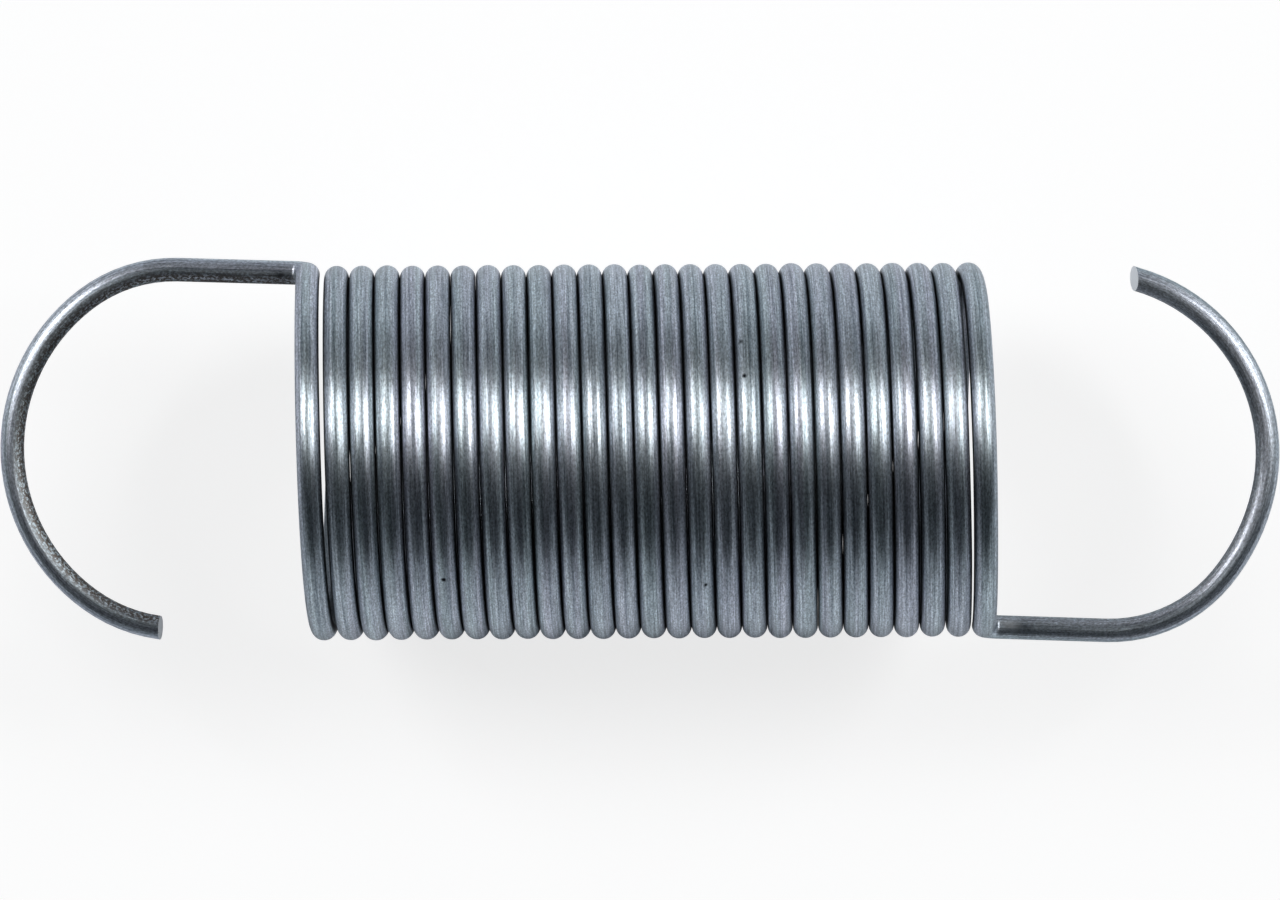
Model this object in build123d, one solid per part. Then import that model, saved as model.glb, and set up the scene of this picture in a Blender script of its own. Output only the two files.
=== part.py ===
from build123d import *

import os
from dataclasses import dataclass
from math import asin, cos, pi, radians, sin

# A close-wound extension spring: one round wire, coiled right-handed along X, with an open
# hook bent up from each end. It lies on its side with both hooks level, and the origin is on
# the surface under the middle of the coil.
#
# The functions below work in the coil's own frame, with the origin on the axis at the middle
# of the coil and both hooks in the XZ plane. The left hook leaves the top of the first turn,
# and the right hook the bottom of the last, so half a turn round Y carries one end onto the
# other. lay_down then turns the front of the coil, the -Y side, up.

# ---- driving dimensions, in millimetres and degrees ----

wire_diameter = 1.6
coil_outside_diameter = 24.4
turns = 26.5
coil_gap = 0.05             # space left between neighbouring turns when nothing pulls
bend_inside_radius = 0.3    # inside of the sharp bend where a coil turns into its leg


@dataclass
class Hook:
    """What the bending tool gave one end of the wire."""

    end_rise: float         # how far the last quarter turn is pulled out past the coil
    leg_length: float       # the straight run beside the axis
    leg_slope: float        # how far that run leans away from the axis
    shoulder_ease: float    # arc radii are the coil's own, plus or minus these
    shoulder_turn: float
    crown_ease: float
    crown_turn: float
    tip_ease: float
    tip_turn: float


left_hook = Hook(
    end_rise=0.25,
    leg_length=7.4,
    leg_slope=1.9,
    shoulder_ease=-1.95,
    shoulder_turn=39.0,
    crown_ease=0.75,
    crown_turn=107.0,
    tip_ease=-1.35,
    tip_turn=27.5,
)
right_hook = Hook(
    end_rise=0.05,
    leg_length=6.9,
    leg_slope=2.1,
    shoulder_ease=-2.05,
    shoulder_turn=52.5,
    crown_ease=1.95,
    crown_turn=26.5,
    tip_ease=0.35,
    tip_turn=87.0,
)

# ---- sizes that follow ----

wire_radius = wire_diameter / 2
coil_radius = coil_outside_diameter / 2 - wire_radius
pitch = wire_diameter + coil_gap
bend_radius = bend_inside_radius + wire_radius
coil_half_length = turns * pitch / 2


def helix_edge(start_x, start_angle, sweep_angle, radius, axis_y):
    """Part of a right-hand helix round an axis along X. Angles run from the top to the front."""
    rise = pitch * radius / coil_radius
    start_out = (0, -sin(start_angle), cos(start_angle))
    start = Plane(origin=(start_x, axis_y, 0), x_dir=start_out, z_dir=(1, 0, 0))
    return start * Edge.make_helix(rise, rise * sweep_angle / (2 * pi), radius)


def arc_in_hook_plane(start, heading, radius, turn):
    """An arc that sets off along heading and curls towards the axis, and its new heading."""
    middle = heading - radians(turn) / 2
    chord = 2 * radius * sin(radians(turn) / 2)
    end = start + Vector(-chord * cos(middle), 0, chord * sin(middle))
    along = Vector(-cos(heading), 0, sin(heading))
    return Edge.make_tangent_arc(start, along, end), end, heading - radians(turn)


def wire_end(hook):
    """The centre line of the left end, from the front of the first turn out to the hook's tip."""
    # The last quarter turn is a helix of slightly larger radius, tangent at the front.
    radius = coil_radius + hook.end_rise
    bend_angle = asin((bend_radius + hook.end_rise) / radius)
    quarter = pi / 2 - bend_angle
    front_x = -coil_half_length + pitch / 4
    bend_x = front_x - pitch * radius / coil_radius * quarter / (2 * pi)
    quarter_turn = helix_edge(bend_x, bend_angle, quarter, radius, hook.end_rise)

    # The sharp bend turns the wire from round the axis to along it.
    heading = radians(hook.leg_slope)
    leg_way = Vector(-cos(heading), 0, sin(heading))
    coil_way = quarter_turn.tangent_at(0) * -1
    bend_start = quarter_turn.position_at(0)
    half_bend = coil_way.get_angle(leg_way) / 2
    reach = bend_radius * sin(radians(half_bend)) / cos(radians(half_bend))
    bend_end = bend_start + (coil_way + leg_way) * reach
    bend = Edge.make_tangent_arc(bend_start, coil_way, bend_end)

    leg_end = bend_end + leg_way * hook.leg_length
    leg = Edge.make_line(bend_end, leg_end)
    shoulder, point, heading = arc_in_hook_plane(
        leg_end, heading, coil_radius + hook.shoulder_ease, hook.shoulder_turn
    )
    crown, point, heading = arc_in_hook_plane(
        point, heading, coil_radius + hook.crown_ease, hook.crown_turn
    )
    tip, point, heading = arc_in_hook_plane(
        point, heading, coil_radius + hook.tip_ease, hook.tip_turn
    )
    return [quarter_turn, bend, leg, shoulder, crown, tip]


def centre_line():
    """The whole wire's centre line, from the left hook's tip to the right hook's tip."""
    middle_turns = turns - 0.5
    middle_start = -coil_half_length + pitch / 4
    middle = helix_edge(middle_start, pi / 2, middle_turns * 2 * pi, coil_radius, 0)
    to_right_end = Rot(X=360 * turns - 180) * Rot(Y=180)
    right = [to_right_end * edge for edge in wire_end(right_hook)]
    return Wire(wire_end(left_hook) + [middle] + right)


def spring_wire():
    """The spring as one solid: the wire's round section carried along its centre line."""
    line = centre_line()
    section = Plane(origin=line.position_at(0), z_dir=line.tangent_at(0)) * Circle(wire_radius)
    return sweep(section, path=line)


lay_down = Pos(Z=coil_outside_diameter / 2) * Rot(X=-90)

os.makedirs("parts", exist_ok=True)
spring = lay_down * spring_wire()
export_step(spring, "parts/spring_wire.step")

length = centre_line().length
ratio = spring.volume / (length * pi * wire_radius ** 2)
print(f"wire length {length:.1f} mm, volume against section times length {ratio:.5f}")
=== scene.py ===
import math

import bpy
import numpy as np
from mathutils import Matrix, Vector


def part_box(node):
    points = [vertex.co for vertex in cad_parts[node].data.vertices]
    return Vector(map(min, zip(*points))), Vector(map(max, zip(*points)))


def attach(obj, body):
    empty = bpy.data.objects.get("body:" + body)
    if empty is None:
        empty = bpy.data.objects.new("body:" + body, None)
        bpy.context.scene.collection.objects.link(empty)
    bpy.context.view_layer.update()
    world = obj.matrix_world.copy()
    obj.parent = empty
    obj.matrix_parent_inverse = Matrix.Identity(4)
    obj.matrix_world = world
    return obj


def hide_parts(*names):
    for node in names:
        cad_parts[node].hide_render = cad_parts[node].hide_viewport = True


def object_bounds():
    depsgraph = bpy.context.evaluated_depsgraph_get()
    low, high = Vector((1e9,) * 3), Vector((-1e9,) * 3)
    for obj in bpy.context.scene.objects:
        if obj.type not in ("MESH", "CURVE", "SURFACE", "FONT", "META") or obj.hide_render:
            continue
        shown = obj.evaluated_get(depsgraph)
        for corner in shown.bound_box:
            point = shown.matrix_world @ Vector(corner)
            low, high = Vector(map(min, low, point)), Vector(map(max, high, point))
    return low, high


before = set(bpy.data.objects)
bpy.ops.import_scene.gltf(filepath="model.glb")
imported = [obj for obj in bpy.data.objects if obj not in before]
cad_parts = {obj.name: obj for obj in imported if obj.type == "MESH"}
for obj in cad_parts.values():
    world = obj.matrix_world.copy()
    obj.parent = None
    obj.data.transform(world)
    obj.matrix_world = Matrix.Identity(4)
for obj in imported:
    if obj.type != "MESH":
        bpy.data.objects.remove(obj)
cad_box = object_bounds()

# ---- driving values, in metres and radians ----

MM = 0.001
WIRE_RADIUS = 0.8 * MM
COIL_GAP = 0.05 * MM
BEND_RADIUS = 0.3 * MM + WIRE_RADIUS
TURNS = 26.5

# What the bending tool gave each end of the wire: the rise of the last quarter turn, the leg's
# length and slope, and then three arcs, each with its radius less the coil's and its turn.
HOOKS = {
    "left": {
        "rise": 0.25 * MM,
        "leg": 7.4 * MM,
        "slope": 1.9,
        "arcs": [(-1.95 * MM, 39.0), (0.75 * MM, 107.0), (-1.35 * MM, 27.5)],
    },
    "right": {
        "rise": 0.05 * MM,
        "leg": 6.9 * MM,
        "slope": 2.1,
        "arcs": [(-2.05 * MM, 52.5), (1.95 * MM, 26.5), (0.35 * MM, 87.0)],
    },
}

STEPS_A_TURN = 92
SIDES = 32
TIGHTER = 0.05 * MM         # how far the tight turns shrink inward from the end turns
HOOK_DRAWN = 0.03 * MM      # how much slimmer the hooks are drawn than the tight coil
SWELL = 0.03 * MM           # how unevenly the turns stand in and out
TURN_FATTER = 0.3 * COIL_GAP    # how much of the gap the tight turns close by being fuller
LEFT_CUT = np.radians((8, -8))  # how far each cut end leans up and turns aside
RIGHT_CUT = np.radians((16, 18))
CUT_LONGER = 0.12 * MM      # how far past the bent length each end was cut
# How far the winding drifts along the axis: place in turns from the middle, and drift in mm.
DRIFT = [
    (-13.25, -0.01),
    (-13.05, 0.02),
    (-12.9, 0.05),
    (-12.75, 0.09),
    (-12.25, 0.18),
    (10.25, -0.05),
    (11.25, -0.02),
    (11.8, -0.07),
    (12.0, -0.06),
    (12.1, 0.0),
    (12.25, 0.02),
    (12.75, -0.06),
    (12.83, 0.04),
    (13.0, 0.04),
    (13.1, 0.02),
    (13.25, 0.0),
]
PINCH = (23.55 * MM, -11.4 * MM)    # where the bending jaw gripped the right leg
PINCH_LENGTH = 0.25 * MM
PINCH_DEPTH = 0.12 * MM
RIDGE_SPREAD = 0.11 * MM            # the jaw's ridges, one every 2 pi of these
SCUFF = (-23.4 * MM, 11.7 * MM)     # where the plating is rubbed off the left leg
# Pits in the plating on the front of the coil: place along and across, and size, in mm.
PITS = [
    (5.97, 7.05, 0.30),
    (6.23, 4.80, 0.24),
    (-12.95, -8.15, 0.22),
    (3.80, -8.60, 0.22),
    (22.25, 5.40, 0.17),
    (22.15, 0.85, 0.20),
]
BAKE_ROWS = 14              # rows the wire is cut into when its finish is laid out flat

STREAK_DARK = (0.30, 0.34, 0.38, 1)
STREAK_LIGHT = (0.66, 0.71, 0.76, 1)
HANDLED = (0.13, 0.115, 0.105, 1)
# Near black, used for real pits and scuffs and for painted shade between the tight turns and inside
# the coil.
SHADE_SCUFF_AND_PIT_DARK = (0.012, 0.013, 0.016, 1)
BARE_METAL = (0.85, 0.86, 0.87, 1)
FLOOR_SEEN = (0.30, 0.30, 0.30, 1)
FLOOR_GLOW = 0.78           # what the paper adds by itself where it is looked at directly
FLOOR_IN_METAL = (0.84, 0.88, 0.93, 1)
ROOM_DARK = (0.02, 0.025, 0.03, 1)
ROOM_LIGHT = (0.16, 0.17, 0.18, 1)
WALL = (0.36, 0.39, 0.42, 1)
WARM_TINT = (1.025, 0.985, 1.03, 1)
COOL_TINT = (0.975, 1.018, 1.0, 1)

FLOOR_SIDE = 8
SOFTBOX_SIZE = (0.55, 0.42)
CAMERA_HEIGHT = 42          # above the coil's axis, in coil radii
VIEW_MARGIN = 1.0003        # how much wider the view is than the spring is long
CAMERA_ROLL = math.radians(-0.31)
SENSOR_WIDTH = 36.0

floor_z = cad_box[0][2]
coil_low, coil_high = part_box("spring_wire")
COIL_RADIUS = (coil_high[2] - coil_low[2]) / 2 - WIRE_RADIUS
AXIS_Z = coil_low[2] + COIL_RADIUS + WIRE_RADIUS
PITCH = 2 * WIRE_RADIUS + COIL_GAP
HALF_COIL = TURNS * PITCH / 2


# ---- the wire's centre line ----
# It is worked out in the coil's own frame, with X along the axis, the left hook's leg towards
# +Z and the front of the coil towards -Y, and is laid on its side afterwards.


def helix_points(start_x, start_angle, sweep, radius, axis_y, count):
    angle = start_angle + np.linspace(0, sweep, count)
    rise = PITCH * radius / COIL_RADIUS / (2 * math.pi)
    x = start_x + rise * (angle - start_angle)
    return np.stack([x, axis_y - radius * np.sin(angle), radius * np.cos(angle)], axis=1)


def arc_points(start, way, turn_way, radius, turn, count):
    """Points of an arc that sets off along way and curls towards turn_way, and its last heading."""
    t = np.linspace(0, turn, count)[:, None]
    points = start + radius * (np.sin(t) * way + (1 - np.cos(t)) * turn_way)
    return points, math.cos(turn) * way + math.sin(turn) * turn_way


def steps_for(length):
    """Points for a length of wire, at the coil's own spacing."""
    return max(4, round(length / (2 * math.pi * COIL_RADIUS) * STEPS_A_TURN) + 1)


def wire_end(hook):
    """Points from the front of the first turn out to the tip of a hook built at the left end."""
    radius = COIL_RADIUS + hook["rise"]
    bend_angle = math.asin((BEND_RADIUS + hook["rise"]) / radius)
    quarter = math.pi / 2 - bend_angle
    front_x = -HALF_COIL + PITCH / 4
    bend_x = front_x - PITCH * radius / COIL_RADIUS * quarter / (2 * math.pi)
    count = round(quarter / (2 * math.pi) * STEPS_A_TURN) + 1
    runs = [helix_points(bend_x, bend_angle, quarter, radius, hook["rise"], count)[::-1]]

    slope = math.radians(hook["slope"])
    leg_way = np.array([-math.cos(slope), 0, math.sin(slope)])
    lead = PITCH / (2 * math.pi * COIL_RADIUS)
    coil_way = np.array([-lead, math.cos(bend_angle), math.sin(bend_angle)])
    coil_way /= np.linalg.norm(coil_way)
    bend = math.acos(coil_way @ leg_way)
    inward = (leg_way - math.cos(bend) * coil_way) / math.sin(bend)
    points, way = arc_points(runs[0][-1], coil_way, inward, BEND_RADIUS, bend, 13)
    runs.append(points)

    leg_end = points[-1] + leg_way * hook["leg"]
    count = steps_for(hook["leg"])
    runs.append(points[-1] + np.linspace(0, 1, count)[:, None] * (leg_end - points[-1]))
    way = leg_way
    for ease, degrees in hook["arcs"]:
        radius = COIL_RADIUS + ease
        turn = math.radians(degrees)
        towards_axis = np.array([-way[2], 0, way[0]])
        points, way = arc_points(
            runs[-1][-1], way, towards_axis, radius, turn, steps_for(radius * turn)
        )
        runs.append(points)
    return np.concatenate([runs[0]] + [run[1:] for run in runs[1:]])


def centre_line():
    """The whole wire's centre line, from the left hook's tip to the right hook's tip."""
    left = wire_end(HOOKS["left"])
    right = wire_end(HOOKS["right"]) * (-1, 1, -1)
    middle_turns = TURNS - 0.5
    count = round(middle_turns * STEPS_A_TURN) + 1
    middle = helix_points(
        -HALF_COIL + PITCH / 4, math.pi / 2, middle_turns * 2 * math.pi, COIL_RADIUS, 0, count
    )
    line = np.concatenate([left[::-1], middle[1:-1], right])
    return np.stack([line[:, 0], line[:, 2], AXIS_Z - line[:, 1]], axis=1)


# ---- the wire's skin ----


def unit(vectors):
    return vectors / np.linalg.norm(vectors, axis=1, keepdims=True)


def unwound(line):
    """Two side directions for each point, carried along the line without twisting."""
    way = unit(np.gradient(line, axis=0))
    side = np.zeros_like(line)
    side[0] = np.cross(way[0], (0, 0, 1))
    for i in range(1, len(line)):
        carried = side[i - 1] - way[i] * (side[i - 1] @ way[i])
        side[i] = carried / np.linalg.norm(carried)
    return way, side, np.cross(way, side)


def wander(place, seed, waves):
    """Smooth unevenness of about one unit, the same each run, from a few sine waves."""
    draw = np.random.default_rng(seed)
    total = np.zeros_like(place)
    for length in waves:
        total += np.sin(2 * math.pi * place / length + draw.uniform(0, 2 * math.pi))
    return total / len(waves)


def bump_at(place, centre, width):
    """One at centre, falling smoothly to nothing a few widths away."""
    return np.exp(-(((place - centre) / width) ** 2))


def within_coil(line):
    """One along the tight coil, falling to nothing over the two turns at each end of it."""
    return np.clip((HALF_COIL - np.abs(line[:, 0])) / (2 * PITCH), 0, 1)


def away_from_axis(line):
    """The direction straight out from the coil's axis, for each point of the line."""
    offset = line - (0, 0, AXIS_Z)
    offset[:, 0] = 0
    return unit(offset)


def uneven(line):
    """The line with the small wandering of a real winding, and its end turns a little open."""
    turn = line[:, 0] / PITCH
    out = line.copy()
    out[:, 0] += MM * np.interp(turn, *zip(*DRIFT))
    swell = SWELL * wander(turn, 5, (2.3, 4.1, 9.0)) - TIGHTER
    return out + away_from_axis(line) * (within_coil(line) * swell)[:, None]


def cut_end(rim, out, outward, lean, turn):
    """The wire's end ring moved to where a slanted cut leaves it."""
    slant = np.tan(turn) * out[:, 1] - np.tan(lean) * out[:, 2]
    return rim + (CUT_LONGER + WIRE_RADIUS * slant)[:, None] * outward


def wire_mesh():
    """Skin points, faces, and what the finish needs to know at each point."""
    line = uneven(centre_line())
    way, side, other = unwound(line)
    steps = np.linalg.norm(np.diff(line, axis=0), axis=1)
    along = np.concatenate([[0], np.cumsum(steps)])
    angle = np.linspace(0, 2 * math.pi, SIDES, endpoint=False)
    cosine, sine = np.cos(angle), np.sin(angle)
    out = side[:, None] * cosine[None, :, None] + other[:, None] * sine[None, :, None]
    inside = within_coil(line)
    radius = WIRE_RADIUS - HOOK_DRAWN * (1 - inside) + TURN_FATTER * inside
    skin = line[:, None] + radius[:, None, None] * out
    pinch = bump_at(line[:, 0], PINCH[0], PINCH_LENGTH) * (line[:, 1] < 0)
    ridges = 0.6 + 0.4 * np.sin(line[:, 0] / RIDGE_SPREAD)
    upper = np.clip(out[:, :, 2], 0, 1)
    skin -= (PINCH_DEPTH * pinch * ridges)[:, None, None] * upper[:, :, None] * out
    skin[0] = cut_end(skin[0], out[0], -way[0], *LEFT_CUT)
    skin[-1] = cut_end(skin[-1], out[-1], way[-1], *RIGHT_CUT)
    ring_start = np.arange(len(line) - 1)[:, None] * SIDES
    first = ring_start + np.arange(SIDES)[None]
    after = ring_start + (np.arange(SIDES)[None] + 1) % SIDES
    quads = np.stack([first, after, after + SIDES, first + SIDES], axis=2).reshape(-1, 4)
    place = np.stack(
        [
            np.tile(cosine, len(line)),
            np.tile(sine, len(line)),
            np.repeat(along, SIDES) / WIRE_RADIUS,
        ],
        axis=1,
    )
    return line, skin, out, quads, place


def wear_and_shade(line, skin, out):
    """How mottled, dark and bare each point of the skin is, each from 0 to 1. The dark is painted
    shade between the tight turns and on their faces inside the coil, together with real scuffs on
    the legs.
    """
    off_coil = np.clip((np.abs(line[:, 0]) - HALF_COIL) / MM, 0, 1)
    side = np.sign(line[:, 0])
    eye = np.stack([side * (HALF_COIL + 8 * MM), 0 * side, 0 * side + AXIS_Z], axis=1)
    inward = (out * unit(eye - line)[:, None]).sum(axis=2)
    amount = off_coil * np.where(side < 0, 1.0, 0.35)
    mottled = amount[:, None] * np.clip(0.25 + 1.3 * inward, 0, 1)

    sideways = np.abs(out[:, :, 0])
    outwards = (out * away_from_axis(line)[:, None]).sum(axis=2)
    end_face = (side[:, None] * out[:, :, 0] > 0) & (
        np.abs(line[:, 0])[:, None] > HALF_COIL - PITCH
    )
    # Painted shade: the flanks of the tight turns are darkened where they face the next turn.
    crevice_shade = np.clip((sideways - 0.84) / 0.12, 0, 1) * ~end_face
    # Painted shade: faces turned towards the coil's axis are darkened, as if in the shadow inside
    # the coil.
    inside = 0.5 * np.clip(-outwards * 2, 0, 1)
    shade_and_scuff = np.maximum(crevice_shade, inside) * (1 - off_coil[:, None])
    facing_up = out[:, :, 2] > 0
    for spot, size in [(SCUFF, 0.42 * MM), ((PINCH[0] + 0.6 * MM, PINCH[1]), 0.35 * MM)]:
        away = np.hypot(skin[:, :, 0] - spot[0], 1.6 * (skin[:, :, 1] - spot[1] + 0.1 * MM))
        shade_and_scuff = np.maximum(shade_and_scuff, 0.85 * facing_up * np.exp(-((away / size) ** 4)))

    bare = np.zeros_like(shade_and_scuff)
    rubbed = (SCUFF[0] + 0.15 * MM, SCUFF[1] + 0.35 * MM)
    for spot, size in [(rubbed, 0.25 * MM), (PINCH, 0.35 * MM)]:
        away = np.hypot(skin[:, :, 0] - spot[0], skin[:, :, 1] - spot[1])
        bare = np.maximum(bare, 0.7 * facing_up * np.exp(-((away / size) ** 2)))
    return np.stack([mottled, shade_and_scuff, bare], axis=2)


def bake_layout(rings):
    """Picture coordinates that cut the wire into rows, for each corner of each side face."""
    rings_a_row = math.ceil((rings - 1) / BAKE_ROWS)
    ring = np.arange(rings - 1)
    row, column = ring // rings_a_row, ring % rings_a_row
    left = 0.002 + 0.996 * column / rings_a_row
    right = 0.002 + 0.996 * (column + 1) / rings_a_row
    low = (row + 0.05) / (BAKE_ROWS + 1)
    step = 0.9 / (BAKE_ROWS + 1) / SIDES
    k = np.arange(SIDES)
    lower = low[:, None] + step * k
    upper = lower + step
    left = np.repeat(left[:, None], SIDES, axis=1)
    right = np.repeat(right[:, None], SIDES, axis=1)
    corners = [(left, lower), (left, upper), (right, upper), (right, lower)]
    return np.stack([np.stack(corner, axis=2) for corner in corners], axis=2).reshape(-1, 2)


def build_wire():
    line, skin, out, quads, place = wire_mesh()
    # These carry painted shade between and inside the turns, as well as the real marks.
    marks = wear_and_shade(line, skin, out)
    rings = len(line)
    verts = skin.reshape(-1, 3)
    faces = quads.tolist()
    layout = [bake_layout(rings)]
    caps = [(0, verts[:SIDES]), (rings - 1, verts[-SIDES:])]
    for number, (ring, rim) in enumerate(caps):
        centre = len(verts)
        verts = np.concatenate([verts, rim, rim.mean(axis=0)[None]])
        place = np.concatenate([place, np.tile(place[ring * SIDES], (SIDES + 1, 1))])
        spot = np.array([0.1 + 0.1 * number, (BAKE_ROWS + 0.5) / (BAKE_ROWS + 1)])
        for k in range(SIDES):
            pair = [centre + k, centre + (k + 1) % SIDES]
            turn = 2 * math.pi * np.array([k, k + 1]) / SIDES
            around = spot + 0.02 * np.stack([np.cos(turn), np.sin(turn)], axis=1)
            if number == 0:
                pair.reverse()
                around = around[::-1]
            faces.append(pair + [centre + SIDES])
            layout.append(np.concatenate([around, spot[None]]))
    marks = np.concatenate([marks.reshape(-1, 3), np.tile((0, 0, 1), (2 * SIDES + 2, 1))])
    mesh = bpy.data.meshes.new("spring_wire_skin")
    mesh.from_pydata(verts.tolist(), [], faces)
    for name, values in [("wire_place", place), ("wire_wear_and_shade", marks)]:
        field = mesh.attributes.new(name, "FLOAT_VECTOR", "POINT")
        field.data.foreach_set("vector", values.astype(np.float32).ravel())
    picture = mesh.uv_layers.new(name="OFBake")
    picture.uv.foreach_set("vector", np.concatenate(layout).astype(np.float32).ravel())
    mesh.shade_smooth()
    piece = bpy.data.objects.new("spring_wire_skin", mesh)
    bpy.context.scene.collection.objects.link(piece)
    return piece


# ---- finishes ----


def new_material(name):
    material = bpy.data.materials.new(name)
    material.use_nodes = True
    tree = material.node_tree
    return material, tree, tree.nodes["Principled BSDF"]


def stretched_noise(tree, place, scale, detail, name):
    """Noise drawn out along the wire; scale is across, across and along, in wire radii."""
    stretch = tree.nodes.new("ShaderNodeMapping")
    stretch.inputs["Scale"].default_value = scale
    tree.links.new(place, stretch.inputs["Vector"])
    noise = tree.nodes.new("ShaderNodeTexNoise")
    noise.label = name
    noise.inputs["Scale"].default_value = 1.0
    noise.inputs["Detail"].default_value = detail
    noise.inputs["Roughness"].default_value = 0.6
    tree.links.new(stretch.outputs["Vector"], noise.inputs["Vector"])
    return noise.outputs["Fac"]


def remap(tree, value, low, high, to_low, to_high):
    """The value between low and high spread over another range, and held at its ends."""
    node = tree.nodes.new("ShaderNodeMapRange")
    ranges = zip(["From Min", "From Max", "To Min", "To Max"], [low, high, to_low, to_high])
    for socket, number in ranges:
        node.inputs[socket].default_value = number
    tree.links.new(value, node.inputs["Value"])
    return node.outputs["Result"]


def blend(tree, factor, first, second, mode="MIX"):
    """Two colours, given as sockets or as numbers, mixed by a factor that is either too."""
    node = tree.nodes.new("ShaderNodeMix")
    node.data_type = "RGBA"
    node.blend_type = mode
    # Sockets 0, 6 and 7 are the factor and the two colours, and output 2 the mixed colour.
    for number, given in [(0, factor), (6, first), (7, second)]:
        socket = node.inputs[number]
        if isinstance(given, bpy.types.NodeSocket):
            tree.links.new(given, socket)
        else:
            socket.default_value = given
    return node.outputs[2]


def joined(tree, operation, first, second):
    """Two values taken together by one sum."""
    node = tree.nodes.new("ShaderNodeMath")
    node.operation = operation
    tree.links.new(first, node.inputs[0])
    tree.links.new(second, node.inputs[1])
    return node.outputs[0]


def raised(tree, height, strength, depth, under=None):
    """A surface that the height stands up from, on top of another such surface."""
    node = tree.nodes.new("ShaderNodeBump")
    node.inputs["Strength"].default_value = strength
    node.inputs["Distance"].default_value = depth
    tree.links.new(height, node.inputs["Height"])
    if under:
        tree.links.new(under, node.inputs["Normal"])
    return node.outputs["Normal"]


def carried(tree, name):
    """What the skin carries at each point under a name."""
    node = tree.nodes.new("ShaderNodeAttribute")
    node.attribute_name = name
    return node.outputs["Vector"]


def pits(tree):
    """One inside the few small pits in the plating, and nothing elsewhere."""
    where = tree.nodes.new("ShaderNodeTexCoord").outputs["Object"]
    total = None
    for x, y, size in PITS:
        height = AXIS_Z + math.sqrt((COIL_RADIUS + WIRE_RADIUS) ** 2 - (y * MM) ** 2)
        away = tree.nodes.new("ShaderNodeVectorMath")
        away.operation = "DISTANCE"
        tree.links.new(where, away.inputs[0])
        away.inputs[1].default_value = (x * MM, y * MM, height)
        pit = remap(tree, away.outputs["Value"], size * MM * 0.5, size * MM, 1, 0)
        total = joined(tree, "MAXIMUM", total, pit) if total else pit
    return total


def zinc_wire():
    material, tree, shader = new_material("zinc_wire")
    place = carried(tree, "wire_place")
    # The skin's mottling, its darkening (painted shade in and between the turns, plus real scuffs),
    # and its bare metal.
    worn_and_shaded = tree.nodes.new("ShaderNodeSeparateXYZ")
    tree.links.new(carried(tree, "wire_wear_and_shade"), worn_and_shaded.inputs["Vector"])
    mottled, shade_and_scuff, bare = worn_and_shaded.outputs

    die_lines = stretched_noise(tree, place, (5, 5, 0.06), 4.0, "die lines")
    scratches = stretched_noise(tree, place, (14, 14, 0.5), 3.0, "scratches")
    grain = stretched_noise(tree, place, (8, 8, 4), 2.0, "plating grain")
    tint = stretched_noise(tree, place, (0.9, 0.9, 0.02), 1.0, "plating tint")
    mottle = stretched_noise(tree, place, (5, 5, 3.6), 3.0, "handling marks")

    streaks = blend(tree, remap(tree, die_lines, 0.36, 0.64, 0, 1), STREAK_DARK, STREAK_LIGHT)
    fine = remap(tree, scratches, 0.35, 0.65, 0.70, 1.22)
    grains = remap(tree, grain, 0.35, 0.65, 0.66, 1.3)
    colour = blend(tree, 1.0, streaks, fine, "MULTIPLY")
    colour = blend(tree, 1.0, colour, grains, "MULTIPLY")
    hue = blend(tree, remap(tree, tint, 0.35, 0.65, 0, 1), WARM_TINT, COOL_TINT)
    colour = blend(tree, 1.0, colour, hue, "MULTIPLY")
    marks = joined(tree, "MULTIPLY", mottled, remap(tree, mottle, 0.42, 0.52, 0, 1))
    colour = blend(tree, marks, colour, HANDLED)
    # Painted shade between and inside the turns, and real scuffs, darken the colour here.
    colour = blend(tree, shade_and_scuff, colour, SHADE_SCUFF_AND_PIT_DARK)
    colour = blend(tree, pits(tree), colour, SHADE_SCUFF_AND_PIT_DARK)
    colour = blend(tree, bare, colour, BARE_METAL)
    tree.links.new(colour, shader.inputs["Base Color"])

    shader.inputs["Metallic"].default_value = 1.0
    where_mottled = remap(tree, mottled, 0, 1, 0.37, 0.52)
    where_bare = remap(tree, bare, 0, 1, 0, 0.5)
    roughness = joined(tree, "MAXIMUM", where_mottled, where_bare)
    tree.links.new(roughness, shader.inputs["Roughness"])
    shader.inputs["Anisotropic"].default_value = 0.6
    shader.inputs["Anisotropic Rotation"].default_value = 0.25
    tangent = tree.nodes.new("ShaderNodeTangent")
    tangent.direction_type = "UV_MAP"
    tangent.uv_map = "OFBake"
    tree.links.new(tangent.outputs["Tangent"], shader.inputs["Tangent"])

    flats = stretched_noise(tree, place, (1.7, 1.7, 0.012), 1.0, "die flats")
    surface = raised(tree, flats, 0.6, 0.08 * MM)
    surface = raised(tree, die_lines, 0.8, 0.02 * MM, surface)
    surface = raised(tree, grain, 0.25, 0.01 * MM, surface)
    tree.links.new(surface, shader.inputs["Normal"])
    return material


def white_floor():
    """Plain paper, which looks white itself and greyer where the metal mirrors it."""
    material, tree, shader = new_material("white_floor")
    rays = tree.nodes.new("ShaderNodeLightPath")
    colour = blend(tree, rays.outputs["Is Camera Ray"], FLOOR_IN_METAL, FLOOR_SEEN)
    tree.links.new(colour, shader.inputs["Base Color"])
    glow = remap(tree, rays.outputs["Is Camera Ray"], 0, 1, 0, FLOOR_GLOW)
    tree.links.new(glow, shader.inputs["Emission Strength"])
    shader.inputs["Emission Color"].default_value = (1, 1, 1, 1)
    shader.inputs["Roughness"].default_value = 1.0
    shader.inputs["Specular IOR Level"].default_value = 0.0
    return material


# ---- the spring ----

spring = build_wire()
spring.data.materials.append(zinc_wire())
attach(spring, "root")
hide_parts("spring_wire")

# ---- floor, light and camera ----


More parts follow.
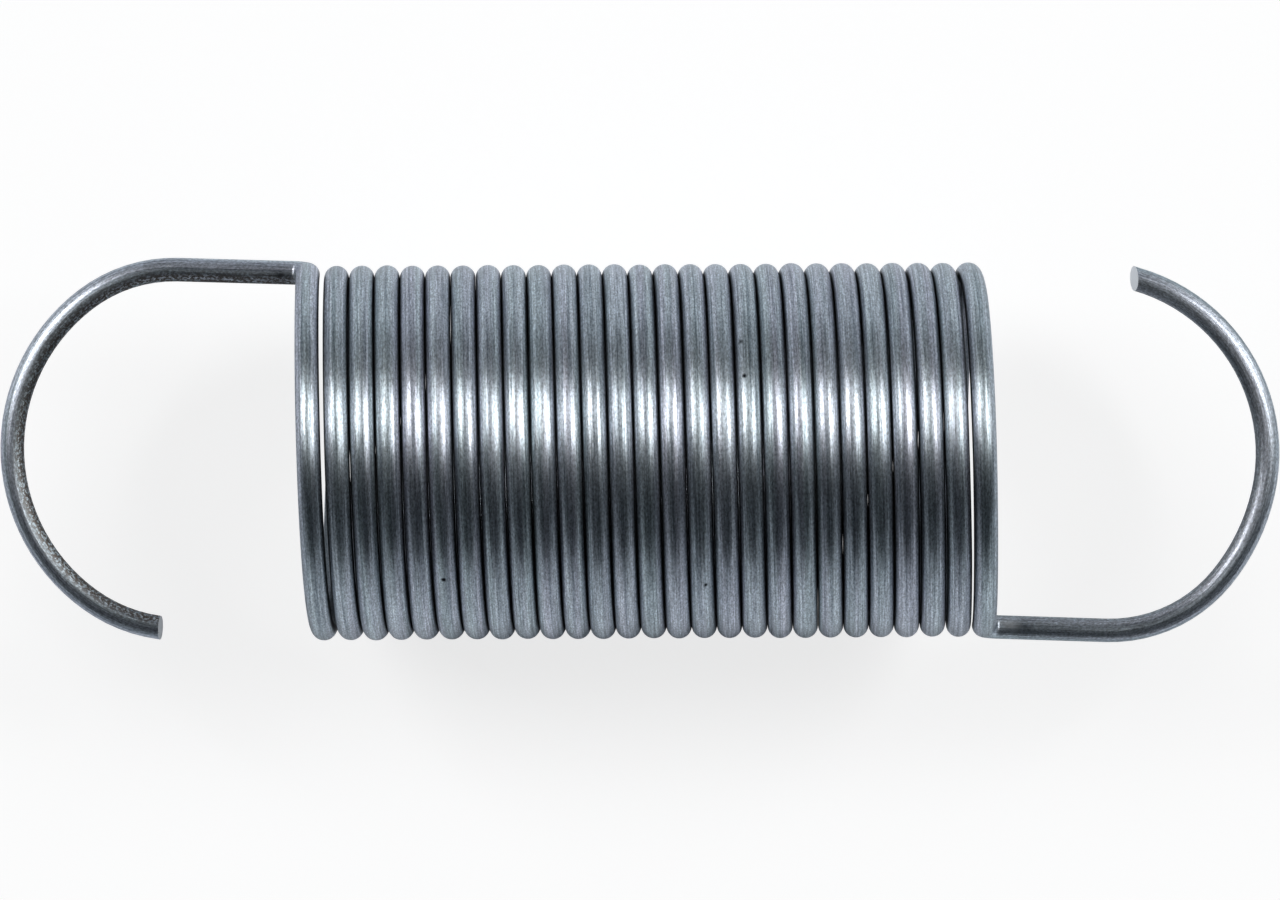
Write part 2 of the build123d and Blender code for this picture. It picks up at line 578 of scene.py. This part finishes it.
def softbox(name, where, look_at, watts):
    light = bpy.data.lights.new(name, "AREA")
    light.shape = "RECTANGLE"
    light.size, light.size_y = SOFTBOX_SIZE
    light.energy = watts
    lamp = bpy.data.objects.new(name, light)
    bpy.context.scene.collection.objects.link(lamp)
    lamp.location = where
    lamp.rotation_euler = (Vector(look_at) - Vector(where)).to_track_quat("-Z", "Y").to_euler()


def studio_world():
    """A dim room, darker on the side of the coil's front and lighter behind the lamps."""
    world = bpy.data.worlds.new("studio")
    bpy.context.scene.world = world
    world.use_nodes = True
    tree = world.node_tree
    where = tree.nodes.new("ShaderNodeTexCoord")
    axes = tree.nodes.new("ShaderNodeSeparateXYZ")
    tree.links.new(where.outputs["Generated"], axes.inputs["Vector"])
    side = remap(tree, axes.outputs["Y"], -0.2, 0.5, 0, 1)
    colour = blend(tree, side, ROOM_DARK, ROOM_LIGHT)
    height = remap(tree, axes.outputs["Z"], 0.12, 0.36, 0, 1)
    colour = blend(tree, height, WALL, colour)
    tree.links.new(colour, tree.nodes["Background"].inputs["Color"])


bpy.ops.mesh.primitive_plane_add(size=FLOOR_SIDE, location=(0, 0, floor_z))
floor = bpy.context.object
floor.name = "floor"
floor.data.materials.append(white_floor())

middle = tuple((low + high) / 2 for low, high in zip(*cad_box))
target = (middle[0], middle[1], AXIS_Z)
studio_world()
softbox("left_softbox", (-0.68, 0.43, 0.8), target, 4.8)
softbox("right_softbox", (0.68, 0.36, 0.8), target, 5.8)

camera_data = bpy.data.cameras.new("camera")
camera = bpy.data.objects.new("camera", camera_data)
bpy.context.scene.collection.objects.link(camera)
bpy.context.scene.camera = camera
distance = CAMERA_HEIGHT * COIL_RADIUS
view_width = (cad_box[1][0] - cad_box[0][0]) * VIEW_MARGIN
camera_data.sensor_width = SENSOR_WIDTH
camera_data.lens = SENSOR_WIDTH * distance / view_width
camera_data.clip_start = 0.01
camera.location = (target[0], target[1], target[2] + distance)
camera.rotation_euler = (0, 0, CAMERA_ROLL)

bpy.context.scene.view_settings.view_transform = "Standard"
